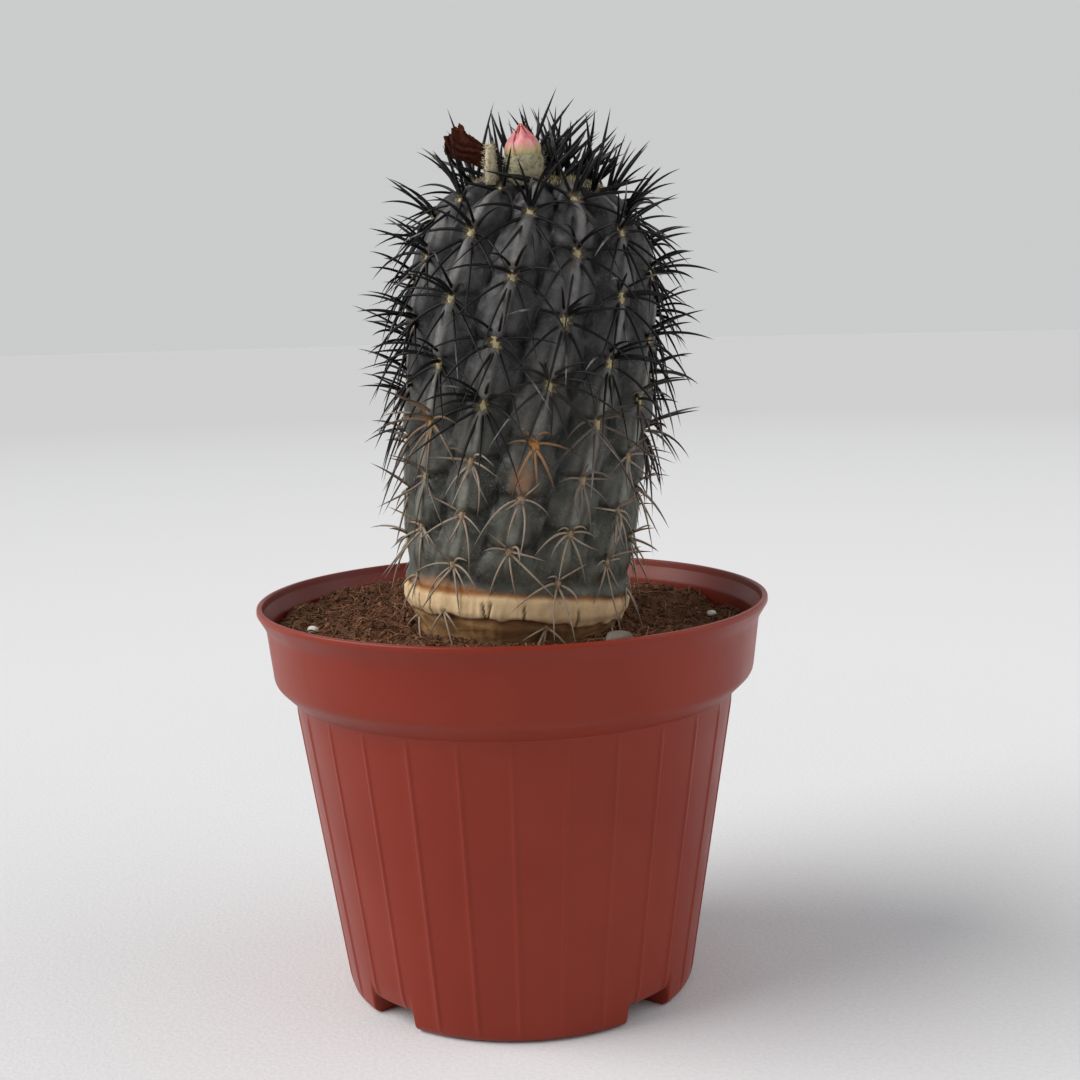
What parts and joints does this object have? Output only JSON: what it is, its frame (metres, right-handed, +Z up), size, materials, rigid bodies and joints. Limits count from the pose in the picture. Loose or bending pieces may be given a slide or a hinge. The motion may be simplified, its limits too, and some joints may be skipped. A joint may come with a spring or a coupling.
{
  "type": "potted cactus",
  "caption": "Short columnar ribbed cactus with dark spines and a pink bud, leaning slightly in a round tapered nursery pot with feet.",
  "frame": {"origin": "centre of the pot base circle, on the plane the feet stand on", "axes": "+Z up along the pot axis; the stem leans towards +X; -Y is the side shown in the front view"},
  "size_m": [0.1512, 0.1512, 0.2601],
  "materials": {
    "pot_plastic": "moulded terracotta-red plastic, semi-gloss",
    "peat_soil": "loose fibrous dark brown peat, matte",
    "cactus_skin": "waxy charcoal-green skin with grey bloom, corky cream ring at the base",
    "dark_spines": "near-black horny spines on cream felt",
    "bud_base": "cream woolly bud base",
    "bud_petals": "soft pink folded petals",
    "dried_flower": "dry crumpled dark red-brown petals",
    "flower_remnant": "dry woolly straw-coloured tube",
    "pebble": "smooth grey-tan stone",
    "perlite": "matte white perlite"
  },
  "bodies": {
    "root": {"pot": "pot_plastic", "soil": "peat_soil", "stem": "cactus_skin", "bud_base": "bud_base", "dried_flower": "dried_flower", "flower_remnant": "flower_remnant", "pebble": "pebble", "perlite_left": "perlite", "perlite_right": "perlite", "bud_petal_1": "bud_petals", "bud_petal_2": "bud_petals", "bud_petal_3": "bud_petals", "bud_petal_4": "bud_petals", "bud_petal_5": "bud_petals", "spine_cluster_01": "dark_spines", "spine_cluster_02": "dark_spines", "spine_cluster_03": "dark_spines", "spine_cluster_04": "dark_spines", "spine_cluster_05": "dark_spines", "spine_cluster_06": "dark_spines", "spine_cluster_07": "dark_spines", "spine_cluster_08": "dark_spines", "spine_cluster_09": "dark_spines", "spine_cluster_10": "dark_spines", "spine_cluster_11": "dark_spines", "spine_cluster_12": "dark_spines", "spine_cluster_13": "dark_spines", "spine_cluster_14": "dark_spines", "spine_cluster_15": "dark_spines", "spine_cluster_16": "dark_spines", "spine_cluster_17": "dark_spines", "spine_cluster_18": "dark_spines", "spine_cluster_19": "dark_spines", "spine_cluster_20": "dark_spines", "spine_cluster_21": "dark_spines", "spine_cluster_22": "dark_spines", "spine_cluster_23": "dark_spines", "spine_cluster_24": "dark_spines", "spine_cluster_25": "dark_spines", "spine_cluster_26": "dark_spines", "spine_cluster_27": "dark_spines", "spine_cluster_28": "dark_spines", "spine_cluster_29": "dark_spines", "spine_cluster_30": "dark_spines", "spine_cluster_31": "dark_spines", "spine_cluster_32": "dark_spines", "spine_cluster_33": "dark_spines", "spine_cluster_34": "dark_spines", "spine_cluster_35": "dark_spines", "spine_cluster_36": "dark_spines", "spine_cluster_37": "dark_spines", "spine_cluster_38": "dark_spines", "spine_cluster_39": "dark_spines", "spine_cluster_40": "dark_spines", "spine_cluster_41": "dark_spines", "spine_cluster_42": "dark_spines", "spine_cluster_43": "dark_spines", "spine_cluster_44": "dark_spines"}
  },
  "joints": []
}
